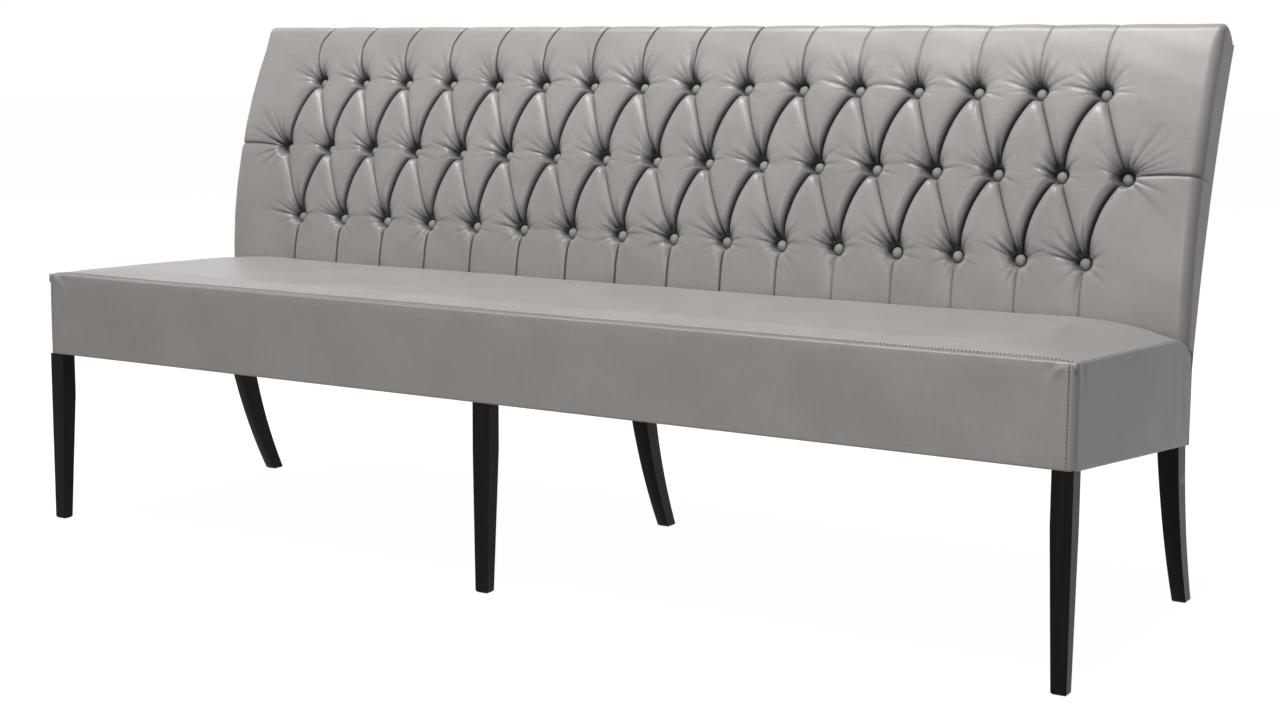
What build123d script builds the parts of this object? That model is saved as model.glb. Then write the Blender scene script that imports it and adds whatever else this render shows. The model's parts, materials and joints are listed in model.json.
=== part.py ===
"""Dining bench, 2.1 m long, with a raked upholstered seat box, a tall deep-buttoned back and six wooden legs.

Millimetres. X runs along the bench, -Y is the front, +Z is up. While it is modelled, Y is 0 at the front
face of the seat box. At the end every piece is moved alike, so that the origin lies on the floor, under the
middle of the bench's outer box.
"""

import os
from math import asin, cos, hypot, pi, radians, sin, tan

from build123d import *

# Overall form
length = 2100.0
half_length = length / 2
seat_seam_height = 487.0
box_height = 156.0
box_front_bottom = seat_seam_height - box_height
box_depth = 543.0
bottom_rake = radians(5.0)
seam_rake = radians(2.5)

# Covers and the clearance between layers
cover_thickness = 2.0
clearance = 0.3
corner_radius = 12.0
dust_cover_thickness = 1.0

# Seat box frame and cushion
rail_thickness = 25.0
cushion_depth = 52.0
topper_edge = 16.0
strap_width = 60.0
strap_thickness = 1.5
strap_pitch = 145.0
straps_each_side = int(half_length / strap_pitch)
corner_block_size = 60.0
crown_height = 13.0
crown_run = 95.0
seam_turn = 100.0
seam_fall = 30.0
seam_bulge = 6.0
seat_gap = 1.0

# Deep-buttoned back: the pleats and buttons lie on one arc, seen from the end
back_radius = 1750.0
back_lean = radians(15.5)
back_overhang = 31.0
middle_row_setback = box_depth + back_overhang
middle_row_rise = 227.0
middle_row_height = seat_seam_height + middle_row_rise
row_spacing = 145.0
button_pitch = 115.2
end_panel_least = 100.0
diamonds = int((length - 2 * end_panel_least) / button_pitch)
back_top = 272.0
back_rear_drop = 12.0
back_thickness_top = 50.0
back_thickness_middle = 42.5
rear_turn_drop = 79.0
puff_height = 31.5
puff_peak = 20.0
puff_reach = 379.0
puff_room = 3.0
pleat_floor = 3.5
pleat_gap = 2.4
crown_slope = radians(5.0)
channel_depth = 22.0
seat_channel_depth = 18.0
pad_base = 6.0
puff_sink = 3.0
pad_bottom_drop = 61.0
top_crown = 7.0
top_edge_radius = 22.0
side_edge_radius = 20.0
side_edge_room = 1.0
end_rise = 35.0
end_run = 58.0
end_dip = 13.0
side_dip = 2.0

# Back frame
board_thickness = 4.0
post_width = 30.0
top_rail_height = 48.0
post_pitches = 3.25

# Buttons and their ties
button_diameter = 19.5
button_height = 8.0
button_edge = 3.5
button_slope_run = 4.5
button_sides = 10
pocket_sides = 6
tie_width = 2.4
clip_length = 12.0
clip_width = 4.0
clip_thickness = 1.5

# Legs
leg_width = 34.0
leg_depth = 30.0
leg_inset = 1.0
foot_width = 25.0
foot_depth = 20.0
taper_start = 80.0
rear_leg_width = 36.0
rear_leg_depth = 38.0
rear_foot_width = 24.0
rear_foot_depth = 27.0
rear_leg_inset = 13.0
rear_leg_kick = 96.0
rear_leg_sagitta = 11.0
rear_foot_shift = 7.0
foot_chamfer = 2.5
bolt_diameter = 8.0
bolt_length = 80.0
bolt_sides = 8

skin = cover_thickness + clearance
core = half_length - skin
overrun = rail_thickness


def low(y):
    """Height of the raked underside of the seat box."""
    return box_front_bottom - y * tan(bottom_rake)


def seam(y):
    """Height of the raked seam round the top of the seat box."""
    return seat_seam_height - y * tan(seam_rake)


def rail_top(y):
    return seam(y) - cushion_depth


# Centre of the arc that the pleats lie on
arc_y = middle_row_setback + back_radius * cos(back_lean)
arc_z = middle_row_height - back_radius * sin(back_lean)


def lean_at(along):
    return back_lean + along / back_radius


def on_back(along, proud=0.0):
    """(y, z) at a length along the pleat arc from the middle row, and a height in front of the arc."""
    turn = lean_at(along)
    reach = back_radius + proud
    return arc_y - reach * cos(turn), arc_z + reach * sin(turn)


def spot(x, along, proud):
    return Vector(x, *on_back(along, proud))


def along_at_height(z):
    return back_radius * (asin((z - arc_z) / back_radius) - back_lean)


def crest(along):
    """How far the back stands in front of the pleat arc, below its rounded top edge."""
    return puff_height * (1 - ((along - puff_peak) / puff_reach) ** 2)


def circle_through(a, b, c):
    """Centre and radius of the circle through three (y, z) points."""
    d = 2 * (a[0] * (b[1] - c[1]) + b[0] * (c[1] - a[1]) + c[0] * (a[1] - b[1]))
    squares = [p[0] ** 2 + p[1] ** 2 for p in (a, b, c)]
    y = (squares[0] * (b[1] - c[1]) + squares[1] * (c[1] - a[1]) + squares[2] * (a[1] - b[1])) / d
    z = (squares[0] * (c[0] - b[0]) + squares[1] * (a[0] - c[0]) + squares[2] * (b[0] - a[0])) / d
    return (y, z), hypot(a[0] - y, a[1] - z)


# The rear face of the back is an arc of its own, up from the rear face of the seat box
rear_points = (
    (box_depth, seat_seam_height - rear_turn_drop),
    on_back(0, -back_thickness_middle),
    on_back(back_top - back_rear_drop, -back_thickness_top),
)
rear_centre, rear_radius = circle_through(*rear_points)


def rear_line(inset):
    """The low, middle and top points of the rear arc, moved towards the front by the inset."""
    scale = (rear_radius + inset) / rear_radius
    return [tuple(c + (v - c) * scale for v, c in zip(p, rear_centre)) for p in rear_points]


def place(points, x=0.0):
    return [Vector(x, y, z) for y, z in points]


def end_view(edges, x0, x1):
    """Solid between two X positions, from the edges of its outline seen from the end."""
    return extrude(Face(Wire(edges)), amount=x1 - x0, dir=(1, 0, 0))


def wedge(x0, x1, y0, y1, bottom, top):
    """Solid between two X and two Y positions, under and over two raked planes."""
    outline = place([(y0, bottom(y0)), (y1, bottom(y1)), (y1, top(y1)), (y0, top(y0))], x0)
    return end_view(Polyline(*outline, close=True).edges(), x0, x1)


def arc(a, b, c):
    return Edge.make_three_point_arc(a, b, c)


def line(a, b):
    return Edge.make_line(a, b)


def back_layer(x0, x1, near, far, along_low, along_high):
    """Curved sheet of the back, between two heights in front of the pleat arc."""
    middle = (along_low + along_high) / 2
    front = [spot(x0, along, near) for along in (along_low, middle, along_high)]
    rear = [spot(x0, along, far) for along in (along_high, middle, along_low)]
    edges = [arc(*front), line(front[2], rear[0]), arc(*rear), line(rear[2], front[0])]
    return end_view(edges, x0, x1)


def plan_ring(inset, depth):
    """Upright block with the rounded front corners of the seat box, inset from its outer faces."""
    half = half_length - inset
    block = Box(2 * half, depth - inset, 2 * seat_seam_height)
    block = Pos(0, (depth + inset) / 2, seat_seam_height / 2) * block
    corners = block.edges().filter_by(Axis.Z).group_by(Axis.Y)[0]
    return fillet(corners, corner_radius - inset)


pieces = {}

# Seat box frame. The posts stand against the rear face of the rear rail.
frame_stack = pad_base + clearance + board_thickness + clearance
rail_along = along_at_height(rail_top(middle_row_setback))
post_face = on_back(rail_along, -frame_stack)[0]
rear_rail_back = post_face - clearance
rear_rail_front = rear_rail_back - rail_thickness
front_rail_back = skin + rail_thickness
inner_core = core - rail_thickness
leg_top_y = leg_inset + leg_depth / 2
rear_leg_rear = box_depth - rear_leg_inset
rear_bolt_y = rear_rail_front + rail_thickness / 2
outer_leg_x = half_length - leg_inset - leg_width / 2
outer_rear_leg_x = half_length - cover_thickness - rear_leg_width / 2
bolt_places = [(x, leg_top_y) for x in (-outer_leg_x, 0.0, outer_leg_x)]
bolt_places += [(x, rear_bolt_y) for x in (-outer_rear_leg_x, 0.0, outer_rear_leg_x)]


def bolt_bar(x, y, room=0.0):
    """Hanger bolt, half in the leg and half in the rail; room makes it the hole for the bolt."""
    face = RegularPolygon(bolt_diameter / 2 + room, bolt_sides)
    return Pos(x, y, low(y)) * extrude(face, amount=bolt_length / 2 + room, both=True)


bolt_holes = [bolt_bar(x, y, clearance) for x, y in bolt_places]

front_rail = wedge(-core, core, skin, front_rail_back, low, rail_top)
front_rail = front_rail & plan_ring(skin, box_depth)
pieces["front_rail"] = front_rail - bolt_holes[:3]
pieces["rear_rail"] = wedge(-core, core, rear_rail_front, rear_rail_back, low, rail_top) - bolt_holes[3:]
for name, side in (("left", -1), ("right", 1)):
    ends = sorted((side * inner_core, side * core))
    pieces[name + "_end_rail"] = wedge(*ends, front_rail_back, rear_rail_front, low, rail_top)
cross_rail_x = strap_pitch * round(half_length / 2 / strap_pitch)
for name, x in (("left", -cross_rail_x), ("centre", 0.0), ("right", cross_rail_x)):
    faces = (x - rail_thickness / 2, x + rail_thickness / 2)
    pieces[name + "_cross_rail"] = wedge(*faces, front_rail_back, rear_rail_front, low, rail_top)


def corner_block(side):
    """Triangular block glued into a front corner of the seat box."""
    corner = (side * inner_core, front_rail_back)
    legs = (-side * corner_block_size, corner_block_size)
    plan = Polyline(corner, (corner[0] + legs[0], corner[1]), (corner[0], corner[1] + legs[1]), close=True)
    column = extrude(make_face(plan), amount=seat_seam_height)
    slab = wedge(-core, core, skin, box_depth, low, lambda y: rail_top(y) - strap_thickness)
    return column & slab


pieces["front_corner_blocks"] = Compound([corner_block(side) for side in (-1, 1)])

# Seat: webbing straps between the cross rails, foam, and the crowned top cover with its topper
strap_front = skin + cover_thickness
strap_rear = rear_rail_front + rail_thickness / 2
strap_xs = [(n + 1 / 2) * strap_pitch * side for n in range(straps_each_side) for side in (-1, 1)]
straps = [
    wedge(x - strap_width / 2, x + strap_width / 2, strap_front, strap_rear,
          rail_top, lambda y: rail_top(y) + strap_thickness)
    for x in strap_xs
]
pieces["seat_webbing"] = Compound(straps)

bottom_along = along_at_height(seat_seam_height - pad_bottom_drop)
seat_rear = on_back(bottom_along, crest(bottom_along))[0] - seat_gap


def foam_top(y):
    return seam(y) - topper_edge


rounded_plan = plan_ring(skin, box_depth)
foam = wedge(-core, core, skin, seat_rear, lambda y: rail_top(y) + strap_thickness + clearance, foam_top)
pieces["seat_foam"] = foam & rounded_plan

# The seam runs straight and then turns down behind the seat
turn_start = (seat_rear - seam_turn / 2, seam(seat_rear - seam_turn / 2))
turn_end = (box_depth, seam(box_depth) - seam_fall)
turn_middle = (
    (turn_start[0] + turn_end[0]) / 2,
    (turn_start[1] + turn_end[1]) / 2 + seam_bulge,
)
turn_centre, turn_radius = circle_through(turn_start, turn_middle, turn_end)


def side_seam(y):
    """Height of the side seam, with its turn down at the rear."""
    if y <= turn_start[0]:
        return seam(y)
    return turn_centre[1] + (turn_radius ** 2 - (y - turn_centre[0]) ** 2) ** 0.5


def cushion_section(y, rise, run):
    """Outline of the topper across the bench, at one distance from the front."""
    edge, top = side_seam(y), seam(y) + rise
    radius = (run ** 2 + (top - edge) ** 2) / (2 * (top - edge))
    half_turn = asin(run / radius) / 2
    shoulder, middle = core - run, (core - run + radius * sin(half_turn), top - radius * (1 - cos(half_turn)))
    right = [Vector(core, y, edge), Vector(middle[0], y, middle[1]), Vector(shoulder, y, top)]
    left = [Vector(-p.X, p.Y, p.Z) for p in reversed(right)]
    bottom = [Vector(-core, y, foam_top(y)), Vector(core, y, foam_top(y))]
    edges = [line(*bottom), line(bottom[1], right[0]), arc(*right), line(right[2], left[0]), arc(*left)]
    return Face(Wire(edges + [line(left[2], bottom[0])]))


# Share of the seat's depth, share of the crown that has risen there, share of the run at the ends
crown_shares = ((0.0, 0.08, 0.6), (0.03, 0.5, 0.8), (0.1, 0.92, 1.0), (0.27, 1.38, 1.1), (0.55, 1.78, 1.3),
                (0.82, 1.88, 1.5), (1.0, 1.88, 1.6))
sections = []
for depth_share, rise_share, run_share in crown_shares:
    depth_here = skin + depth_share * (seat_rear - skin)
    sections.append(cushion_section(depth_here, rise_share * crown_height, run_share * crown_run))
pieces["seat_top_cover"] = loft(sections, ruled=True) & rounded_plan

# Covers of the seat box: a front band between two side bands that turn the front corners
outer_plan = plan_ring(0.0, 2 * box_depth)
band_ring = outer_plan - plan_ring(cover_thickness, 3 * box_depth)
seam_start = (0.0, seam(0.0))
band_rear = rear_line(skin)[0][0]


def band_outline(lift):
    """End view of the side band, with its top edge raised by the lift."""
    top = [(y, z + lift) for y, z in (seam_start, turn_start, turn_middle, turn_end)]
    bottom = [(turn_end[0], low(turn_end[0])), (0.0, low(0.0))]
    corners = place(top + bottom, half_length - corner_radius)
    edges = [line(corners[0], corners[1]), arc(*corners[1:4]), line(corners[3], corners[4])]
    return edges + [line(corners[4], corners[5]), line(corners[5], corners[0])]


side_block = end_view(band_outline(0.0), 0.0, corner_radius + overrun)
rear_trim = Box(2 * length, 2 * box_depth, 2 * seat_seam_height)
rear_trim = Pos(0, band_rear + box_depth, seat_seam_height) * rear_trim
right_band = (band_ring & side_block) - rear_trim
pieces["seat_right_band"] = right_band
pieces["seat_left_band"] = mirror(right_band, about=Plane.YZ)
front_half = half_length - corner_radius
pieces["seat_front_band"] = wedge(-front_half, front_half, 0.0, cover_thickness, low, seam)
dust_half = outer_leg_x - leg_width / 2 - clearance
pieces["dust_cover"] = wedge(
    -dust_half, dust_half, leg_inset + leg_depth + clearance, rear_leg_rear - rear_leg_depth - clearance,
    lambda y: low(y) - dust_cover_thickness, low)

# Back frame
frame_top = back_top - top_crown - back_rear_drop - clearance
post_top = frame_top - top_rail_height


def rear_arc_to(along):
    """(y, z) where the frame's rear arc meets the plane square to the pleat arc at a length along it."""
    turn = lean_at(along)
    radius = rear_radius + skin
    out = (-cos(turn), sin(turn))
    start = (arc_y - rear_centre[0], arc_z - rear_centre[1])
    half_b = start[0] * out[0] + start[1] * out[1]
    c = start[0] ** 2 + start[1] ** 2 - radius ** 2
    reach = -half_b + (half_b ** 2 - c) ** 0.5
    return arc_y + reach * out[0], arc_z + reach * out[1]


def post_outline(x):
    front_low = (post_face, low(post_face))
    front_turn = (post_face, on_back(rail_along, -frame_stack)[1])
    front = [on_back((rail_along + post_top) / 2, -frame_stack), on_back(post_top, -frame_stack)]
    rear_low = rear_line(skin)[0]
    rear = [rear_arc_to(post_top), rear_arc_to((rail_along + post_top) / 2), rear_low]
    p = place([front_low, front_turn, *front, *rear, (rear_low[0], low(rear_low[0]))], x)
    edges = [line(p[0], p[1]), arc(p[1], p[2], p[3]), line(p[3], p[4]), arc(p[4], p[5], p[6])]
    return edges + [line(p[6], p[7]), line(p[7], p[0])]


inner_post_x = post_pitches * button_pitch
post_places = {
    "left_end_post": -core,
    "left_inner_post": -inner_post_x - post_width / 2,
    "right_inner_post": inner_post_x - post_width / 2,
    "right_end_post": core - post_width,
}
for name, x in post_places.items():
    pieces[name] = end_view(post_outline(x), x, x + post_width)


def top_rail_outline(x):
    front = [on_back(along, -frame_stack) for along in (post_top, (post_top + frame_top) / 2, frame_top)]
    rear = [rear_arc_to(along) for along in (frame_top, (post_top + frame_top) / 2, post_top)]
    p = place(front + rear, x)
    return [arc(*p[:3]), line(p[2], p[3]), arc(*p[3:]), line(p[5], p[0])]


pieces["back_top_rail"] = end_view(top_rail_outline(-core), -core, core)

# Buttons: rows of diamonds, diamonds + 1 and diamonds, the middle row half a pitch out
outer_row_xs = [(n - (diamonds - 1) / 2) * button_pitch for n in range(diamonds)]
middle_row_xs = [(n - diamonds / 2) * button_pitch for n in range(diamonds + 1)]
rows = {
    "top_row_buttons": (row_spacing, outer_row_xs),
    "middle_row_buttons": (0.0, middle_row_xs),
    "bottom_row_buttons": (-row_spacing, outer_row_xs),
}
button_places = [(x, along) for along, xs in rows.values() for x in xs]


def at_button(x, along):
    """Frame on the pleat arc under a button, its Z square to the arc and pointing out of the pad."""
    turn = lean_at(along)
    return Location(Plane(origin=spot(x, along, 0.0), x_dir=(1, 0, 0), z_dir=(0, -cos(turn), sin(turn))))


button_radius = button_diameter / 2
button = extrude(RegularPolygon(button_radius, button_sides), amount=button_height)
button = chamfer(button.faces().sort_by(Axis.Z)[-1].edges(), button_height - button_edge, button_slope_run)
for name, (along, xs) in rows.items():
    pieces[name] = Compound([at_button(x, along) * button for x in xs])

board_rear = -(pad_base + clearance + board_thickness)
clip_face = board_rear - clearance
tie = Pos(0, 0, clip_face / 2) * Box(tie_width, tie_width, -clip_face)
hole_width = tie_width + 2 * clearance
tie_hole = Pos(0, 0, clip_face / 2) * Box(hole_width, hole_width, overrun)
clip = Pos(0, 0, clip_face - clip_thickness / 2) * Box(clip_length, clip_width, clip_thickness)
tie_holes = [at_button(*p) * tie_hole for p in button_places]
pieces["button_ties"] = Compound([at_button(*p) * tie for p in button_places])
pieces["button_tie_clips"] = Compound([at_button(*p) * clip for p in button_places])
board_low = along_at_height(rail_top(rear_rail_front) + clearance - board_rear * sin(back_lean))
board = back_layer(-core, core, -pad_base - clearance, board_rear, board_low, frame_top)
pieces["back_board"] = board - tie_holes

# Tufted back pad: one cover over its foam. Each puff is what its pleats' rounded covers leave between them.
top_along = back_top + top_crown / 2
top_start = top_along - top_edge_radius
middle_along = (bottom_along + top_start) / 2
half_pitch = button_pitch / 2
diamond_run = half_pitch * row_spacing / hypot(half_pitch, row_spacing)
diamond_rise = puff_height - pleat_floor


def puff_blank(x0, x1, room):
    """The whole of the padding between two X positions, with its rounded top edge, and some room in front."""
    high = [spot(x0, along, crest(along) + room) for along in (bottom_along, middle_along, top_start)]
    top = crest(top_start) + room
    turn = top_edge_radius * sin(pi / 4)
    turn_spot = spot(x0, top_start + turn, top - top_edge_radius + turn)
    end = spot(x0, top_along, top - top_edge_radius)
    rear = [spot(x0, along, -puff_sink) for along in (top_along, middle_along, bottom_along)]
    edges = [arc(*high), arc(high[2], turn_spot, end), line(end, rear[0]), arc(*rear), line(rear[2], high[0])]
    return end_view(edges, x0, x1)


def pleat_side(start, end, inside, rise, run, gap=0.0):
    """Block on the inside of a pleat, under a cover that climbs by the rise over the run, in an arc."""
    along = (end - start).normalized()
    across = inside - start
    across = (across - along * across.dot(along)).normalized()
    out = across.cross(along)
    if out.Y > 0:
        out = -out
    edge, low_edge = gap / 2, -2 * puff_height
    reach = run - edge
    radius = (reach ** 2 + rise ** 2) / (2 * (rise * cos(crown_slope) - reach * sin(crown_slope)))
    centre = (run + radius * sin(crown_slope), rise - radius * cos(crown_slope))
    turn = asin((centre[0] - edge) / radius)
    middle = (centre[0] - radius * sin(turn / 2), centre[1] + radius * cos(turn / 2), 0)
    top = (centre[0], centre[1] + radius, 0)
    corners = [top, (length, top[1], 0), (length, low_edge, 0), (edge, low_edge, 0), (edge, 0, 0)]
    edges = [line(a, b) for a, b in zip(corners, corners[1:])]
    profile = Face(Wire([arc((edge, 0, 0), middle, top)] + edges))
    plane = Plane(origin=start, x_dir=across, z_dir=across.cross(out))
    return extrude(plane * profile, amount=length, both=True)


def far_end(up):
    """Where the upright pleats end along the arc: at the rounded top edge, or below the seat."""
    return top_start if up > 0 else bottom_along


def diagonal_side(x, end_x, up, inside_x, inside_along):
    """Side of the pleat from a middle-row button to the outer-row button above or below it."""
    start, end = spot(x, 0.0, pleat_floor), spot(end_x, up * row_spacing, pleat_floor)
    return pleat_side(start, end, spot(inside_x, inside_along, pleat_floor), diamond_rise, diamond_run)


def upright_side(x, up, inward, rise, run, depth):
    """Side of the pleat that runs from an outer-row button to the top edge or down behind the seat."""
    start, end = [spot(x, along, crest(along) - depth) for along in (up * row_spacing, far_end(up))]
    return pleat_side(start, end, start + Vector(inward, 0, 0), rise, run)


def diamond(x):
    """Puff between four diagonal pleats."""
    puff = puff_blank(x - half_pitch, x + half_pitch, puff_room)
    for end_x in (x - half_pitch, x + half_pitch):
        for up in (-1, 1):
            puff = puff & diagonal_side(end_x, x, up, x, 0.0)
    return puff


def channel(x, up):
    """Puff that widens from a middle-row button and runs on between two upright pleats."""
    depth = channel_depth if up > 0 else seat_channel_depth
    puff = puff_blank(x - half_pitch, x + half_pitch, puff_room)
    for side in (-1, 1):
        end_x = x + side * half_pitch
        puff = puff & diagonal_side(x, end_x, up, x, up * row_spacing)
        puff = puff & upright_side(end_x, up, -side * half_pitch, depth, half_pitch, depth)
    return puff


def end_panel(up):
    """Plain panel between the last pleats and the right side edge, above or below the level pleat."""
    inner = middle_row_xs[-1]
    panel = puff_blank(inner - half_pitch, half_length, 0.0)
    for low_along, high_along in ((0.0, far_end(up) / 2), (far_end(up) / 2, far_end(up))):
        ends = [spot(half_length, along, crest(along) - side_edge_radius) for along in (low_along, high_along)]
        inside = ends[0] - Vector(side_edge_radius, 0, 0)
        panel = panel & pleat_side(*ends, inside, side_edge_radius + side_edge_room, side_edge_radius)
    start, end = spot(inner, 0.0, pleat_floor), spot(inner - half_pitch, up * row_spacing, pleat_floor)
    panel = panel & pleat_side(start, end, spot(half_length, 0.0, pleat_floor), end_rise, end_run)
    panel = panel & upright_side(inner - half_pitch, up, half_pitch, end_rise, end_run, channel_depth)
    start, end = spot(inner, 0.0, crest(0.0) - end_dip), spot(half_length, 0.0, crest(0.0) - side_dip)
    inside = spot(inner, up * row_spacing, crest(0.0) - end_dip)
    return panel & pleat_side(start, end, inside, end_dip + side_dip, end_run, pleat_gap)


base_layer = back_layer(-half_length, half_length, 0.0, -pad_base, bottom_along, back_top)


def cap_outline(x):
    """End view of the padded top face, from the rear edge to the front rounding."""
    under, rear_along = frame_top + clearance, back_top - back_rear_drop
    inner = [on_back(under, -pad_base), rear_arc_to(under)]
    crown = on_back((top_along + rear_along) / 2 + top_crown, -back_thickness_top / 2)
    front = on_back(top_along - clearance / 2, -puff_sink / 2)
    p = place([on_back(under, -puff_sink / 2), *inner, rear_arc_to(rear_along), crown, front], x)
    return [line(p[0], p[1]), line(p[1], p[2]), line(p[2], p[3]), arc(*p[3:]), line(p[5], p[0])]


def flange_outline(x):
    """End view of the cover's side, from the pad back to the outside back panel."""
    rear_low = rear_line(skin)[0]
    high = back_top - back_rear_drop
    front = [on_back(along, -puff_sink) for along in (bottom_along, 0.0, high)]
    rear = [rear_arc_to(high), rear_arc_to(0.0), rear_low]
    p = place(front + rear, x)
    return [arc(*p[:3]), line(p[2], p[3]), arc(*p[3:]), line(p[5], p[0])]


flange_x = half_length - cover_thickness
flange = end_view(flange_outline(flange_x), flange_x, half_length)
cap = end_view(cap_outline(-half_length), -half_length, half_length)
puffs = [end_panel(1), end_panel(-1)]
puffs += [mirror(panel, about=Plane.YZ) for panel in puffs]
puffs += [diamond(x) for x in outer_row_xs]
puffs += [channel(x, up) for x in middle_row_xs[1:-1] for up in (1, -1)]
pad = base_layer.fuse(cap, flange, mirror(flange, about=Plane.YZ), *puffs)
pocket_face = RegularPolygon(button_radius + clearance, pocket_sides, major_radius=False)
pocket = Pos(0, 0, -clearance) * extrude(pocket_face, amount=puff_height)
pad = pad - [at_button(*p) * pocket for p in button_places] - tie_holes
notch = Pos(flange_x - clearance - front_half, 0, 0) * end_view(band_outline(clearance), 0.0, overrun)
pieces["tufted_back_pad"] = pad - notch - mirror(notch, about=Plane.YZ)


def panel_outline(x):
    outer, inner = rear_line(0.0), rear_line(cover_thickness)
    bottom = (outer[0][0], low(outer[0][0])), (inner[0][0], low(inner[0][0]))
    p = place([*outer, *reversed(inner), bottom[1], bottom[0]], x)
    edges = [arc(*p[:3]), line(p[2], p[3]), arc(*p[3:6]), line(p[5], p[6])]
    return edges + [line(p[6], p[7]), line(p[7], p[0])]


pieces["outside_back_panel"] = end_view(panel_outline(-half_length), -half_length, half_length)

# Legs. Each is its side view and its front view, run through each other, so its faces taper both ways.


def front_view(points, y0, y1):
    outline = Polyline(*[(x, y0, z) for x, z in points], close=True)
    return extrude(make_face(outline), amount=y1 - y0, dir=(0, 1, 0))


def finish_foot(leg):
    return chamfer(leg.faces().sort_by(Axis.Z)[0].edges(), foot_chamfer)


def front_leg(x, side):
    """Front leg, straight and then tapered; its outer face stays upright, or both taper on the middle leg."""
    y0, y1 = leg_inset, leg_inset + leg_depth
    knee = low(y1) - taper_start
    side_view = [(y0, 0), (y0 + foot_depth, 0), (y1, knee), (y1, low(y1)), (y0, low(y0))]
    sides = Polyline(*place(side_view, x - leg_width), close=True).edges()
    blank = end_view(sides, x - leg_width, x + leg_width)
    half, slack = leg_width / 2, leg_width - foot_width
    left_slack, right_slack = {-1: (0.0, slack), 0: (slack / 2, slack / 2), 1: (slack, 0.0)}[side]
    top = seat_seam_height
    outline = [(x - half + left_slack, 0), (x + half - right_slack, 0), (x + half, knee), (x + half, top),
               (x - half, top), (x - half, knee)]
    return blank & front_view(outline, -leg_depth, 2 * leg_depth)


def rear_leg(x, side):
    """Rear leg, swept backwards on two arcs and tapered to its foot."""
    top_front, top_rear = rear_leg_rear - rear_leg_depth, rear_leg_rear
    foot_rear = rear_leg_rear + rear_leg_kick
    foot_front = foot_rear - rear_foot_depth

    def bow(foot_y, top_y):
        chord = (top_y - foot_y, low(top_y))
        size = hypot(*chord)
        return (foot_y + chord[0] / 2 - rear_leg_sagitta * chord[1] / size,
                chord[1] / 2 + rear_leg_sagitta * chord[0] / size)

    p = place([(foot_front, 0), (foot_rear, 0), bow(foot_rear, top_rear), (top_rear, low(top_rear)),
               (top_front, low(top_front)), bow(foot_front, top_front)], x - rear_leg_width)
    edges = [line(p[0], p[1]), arc(p[1], p[2], p[3]), line(p[3], p[4]), arc(p[4], p[5], p[0])]
    blank = end_view(edges, x - rear_leg_width, x + rear_leg_width)
    half, foot_half = rear_leg_width / 2, rear_foot_width / 2
    foot_x = x - side * rear_foot_shift / 2
    top = seat_seam_height
    outline = [(foot_x - foot_half, 0), (foot_x + foot_half, 0), (x + half, low(top_rear)), (x + half, top),
               (x - half, top), (x - half, low(top_rear))]
    return blank & front_view(outline, rear_rail_front - length, rear_rail_front + length)


leg_sides = (("left", -1), ("middle", 0), ("right", 1))
for name, side in leg_sides:
    leg = finish_foot(front_leg(side * outer_leg_x, side))
    pieces["front_" + name + "_leg"] = leg - bolt_holes[side + 1]
    leg = finish_foot(rear_leg(side * outer_rear_leg_x, side))
    pieces["rear_" + name + "_leg"] = leg - bolt_holes[side + 4]
pieces["leg_hanger_bolts"] = Compound([bolt_bar(*p) for p in bolt_places])

# The origin goes to the floor under the middle of the whole
box = Compound(list(pieces.values())).bounding_box()
to_origin = Pos(-box.center().X, -box.center().Y, -box.min.Z)
print("moved by", to_origin.position, "size", box.size)

os.makedirs("parts", exist_ok=True)
for name, shape in pieces.items():
    export_step(to_origin * shape, f"parts/{name}.step")
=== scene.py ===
"""The looks of the dining bench: buttoned back, seat, bands, legs, light and camera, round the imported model.

Lengths are in millimetres until a mesh is made. Y is 0 at the front face of the seat box, as in the part's
source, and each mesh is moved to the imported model's place.
"""

import json
from math import cos, hypot, pi, radians, sin, tan

import bpy
import numpy as np
from mathutils import Matrix, Vector


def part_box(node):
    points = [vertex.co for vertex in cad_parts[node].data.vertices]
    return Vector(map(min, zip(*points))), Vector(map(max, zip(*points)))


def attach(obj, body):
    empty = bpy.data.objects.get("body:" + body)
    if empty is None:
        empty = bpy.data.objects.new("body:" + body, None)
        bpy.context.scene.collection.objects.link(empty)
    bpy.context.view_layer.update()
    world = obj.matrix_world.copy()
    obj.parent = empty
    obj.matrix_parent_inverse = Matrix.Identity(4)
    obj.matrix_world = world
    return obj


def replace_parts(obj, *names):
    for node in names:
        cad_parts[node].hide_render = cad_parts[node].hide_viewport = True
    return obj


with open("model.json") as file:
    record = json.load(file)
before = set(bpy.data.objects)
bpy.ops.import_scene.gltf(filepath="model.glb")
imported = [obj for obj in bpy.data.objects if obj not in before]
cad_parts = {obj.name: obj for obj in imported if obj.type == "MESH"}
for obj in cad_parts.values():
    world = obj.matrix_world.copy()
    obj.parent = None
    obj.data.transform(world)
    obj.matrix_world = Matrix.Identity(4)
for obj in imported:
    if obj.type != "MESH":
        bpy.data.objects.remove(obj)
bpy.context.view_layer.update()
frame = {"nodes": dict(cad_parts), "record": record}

MM = 0.001
chance = np.random.default_rng(11)

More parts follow.
